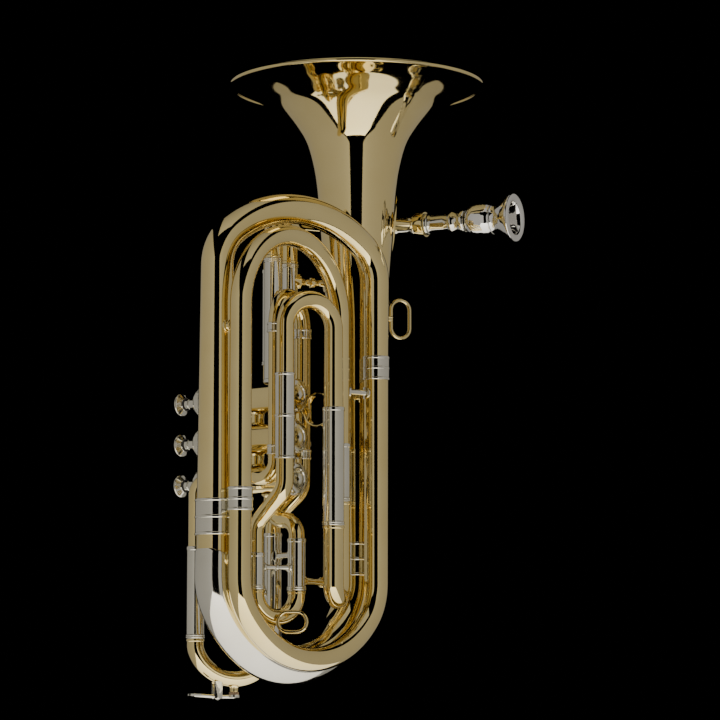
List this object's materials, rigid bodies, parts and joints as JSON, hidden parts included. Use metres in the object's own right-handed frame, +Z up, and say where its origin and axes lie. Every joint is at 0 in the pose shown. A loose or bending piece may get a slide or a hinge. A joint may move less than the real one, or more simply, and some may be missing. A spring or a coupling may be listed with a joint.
{
  "type": "euphonium",
  "caption": "Bell-up brass wind instrument with front-action piston valves, folded conical tubing, pull slides, a spring water key and a removable mouthpiece.",
  "frame": {"origin": "centre of the bell mouth, in the plane of the rim bead's flat", "axes": "+Z up out of the bell mouth; the upright tube runs lie towards -X; the valves run forward towards +Y; the player's side is -Y"},
  "size_m": [0.2977, 0.216, 0.5163],
  "materials": {
    "lacquered_brass": "polished clear-lacquered brass",
    "nickel_silver": "polished nickel silver",
    "silver_plate": "polished silver plate",
    "piston_metal": "lapped nickel-copper alloy",
    "spring_steel": "drawn spring wire",
    "guide_plastic": "moulded white plastic",
    "felt": "pressed wool felt",
    "cork": "natural cork"
  },
  "bodies": {
    "horn": {"bell": "lacquered_brass", "bell_rim_bead": "lacquered_brass", "large_bottom_bow": "lacquered_brass", "first_branch": "lacquered_brass", "second_bottom_bow": "lacquered_brass", "second_branch": "lacquered_brass", "third_branch": "lacquered_brass", "valve_exit_tube": "lacquered_brass", "third_valve_loop": "lacquered_brass", "third_return_tube": "lacquered_brass", "first_valve_elbow": "lacquered_brass", "valve_knuckles": "lacquered_brass", "first_casing": "lacquered_brass", "second_casing": "lacquered_brass", "third_casing": "lacquered_brass", "leadpipe": "lacquered_brass", "bell_ferrule": "nickel_silver", "bow_guard": "nickel_silver", "large_ferrule": "nickel_silver", "second_ferrule": "nickel_silver", "third_ferrule": "nickel_silver", "main_slide_sleeves": "nickel_silver", "return_slide_sleeves": "nickel_silver", "branch_ferrules": "nickel_silver", "third_slide_sleeves": "nickel_silver", "first_slide_sleeves": "nickel_silver", "second_slide_sleeves": "nickel_silver", "receiver": "nickel_silver", "bottom_caps": "nickel_silver", "top_caps": "nickel_silver", "stay_rods": "nickel_silver", "bell_branch_posts": "lacquered_brass", "branch_posts": "lacquered_brass", "bell_stays": "lacquered_brass", "leadpipe_bracket": "lacquered_brass", "strap_ring": "lacquered_brass", "thumb_ring": "lacquered_brass", "valve_guides": "guide_plastic", "first_piston_spring": "spring_steel", "second_piston_spring": "spring_steel", "third_piston_spring": "spring_steel"},
    "first_piston_body": {"first_piston": "piston_metal", "first_button": "nickel_silver", "first_button_felt": "felt"},
    "second_piston_body": {"second_piston": "piston_metal", "second_button": "nickel_silver", "second_button_felt": "felt"},
    "third_piston_body": {"third_piston": "piston_metal", "third_button": "nickel_silver", "third_button_felt": "felt"},
    "main_slide": {"main_slide_crook": "lacquered_brass"},
    "return_slide": {"return_slide_crook": "lacquered_brass"},
    "first_slide": {"first_slide_crook": "lacquered_brass"},
    "second_slide": {"second_slide_crook": "lacquered_brass"},
    "third_slide": {"third_slide_crook": "lacquered_brass", "water_key_saddle": "nickel_silver", "water_key_spring": "spring_steel"},
    "water_key": {"water_key_lever": "nickel_silver", "water_key_cork": "cork"},
    "mouthpiece_body": {"mouthpiece": "silver_plate"}
  },
  "joints": [
    {"name": "first_valve_press", "type": "slide", "parent": "horn", "child": "first_piston_body", "axis": [0.2588, -0.9659, 0], "range_m": [0, 0.016], "stiffness_N_per_m": 150, "springref_m": -0.012, "deforming": ["first_piston_spring"]},
    {"name": "second_valve_press", "type": "slide", "parent": "horn", "child": "second_piston_body", "axis": [0.2588, -0.9659, 0], "range_m": [0, 0.016], "stiffness_N_per_m": 150, "springref_m": -0.012, "deforming": ["second_piston_spring"]},
    {"name": "third_valve_press", "type": "slide", "parent": "horn", "child": "third_piston_body", "axis": [0.2588, -0.9659, 0], "range_m": [0, 0.016], "stiffness_N_per_m": 150, "springref_m": -0.012, "deforming": ["third_piston_spring"]},
    {"name": "main_slide_pull", "type": "slide", "parent": "horn", "child": "main_slide", "axis": [0, 0, -1], "range_m": [0, 0.018]},
    {"name": "return_slide_pull", "type": "slide", "parent": "horn", "child": "return_slide", "axis": [0, 0, -1], "range_m": [0, 0.007]},
    {"name": "first_slide_pull", "type": "slide", "parent": "horn", "child": "first_slide", "axis": [0, 0, 1], "range_m": [0, 0.04]},
    {"name": "second_slide_pull", "type": "slide", "parent": "horn", "child": "second_slide", "axis": [0.9659, 0.2588, 0], "range_m": [0, 0.018]},
    {"name": "third_slide_pull", "type": "slide", "parent": "horn", "child": "third_slide", "axis": [0, 0, -1], "range_m": [0, 0.05]},
    {"name": "water_key_press", "type": "hinge", "parent": "third_slide", "child": "water_key", "pos_m": [-0.12191, 0.02631, -0.5136], "axis": [0.3684, 0.9297, 0], "range_deg": [0, 12], "stiffness_Nm_per_rad": 0.02, "springref_deg": -28.65, "deforming": ["water_key_spring"]},
    {"name": "mouthpiece_pull", "type": "slide", "parent": "horn", "child": "mouthpiece_body", "axis": [0.449, -0.8935, 0], "range_m": [0, 0.03]}
  ]
}
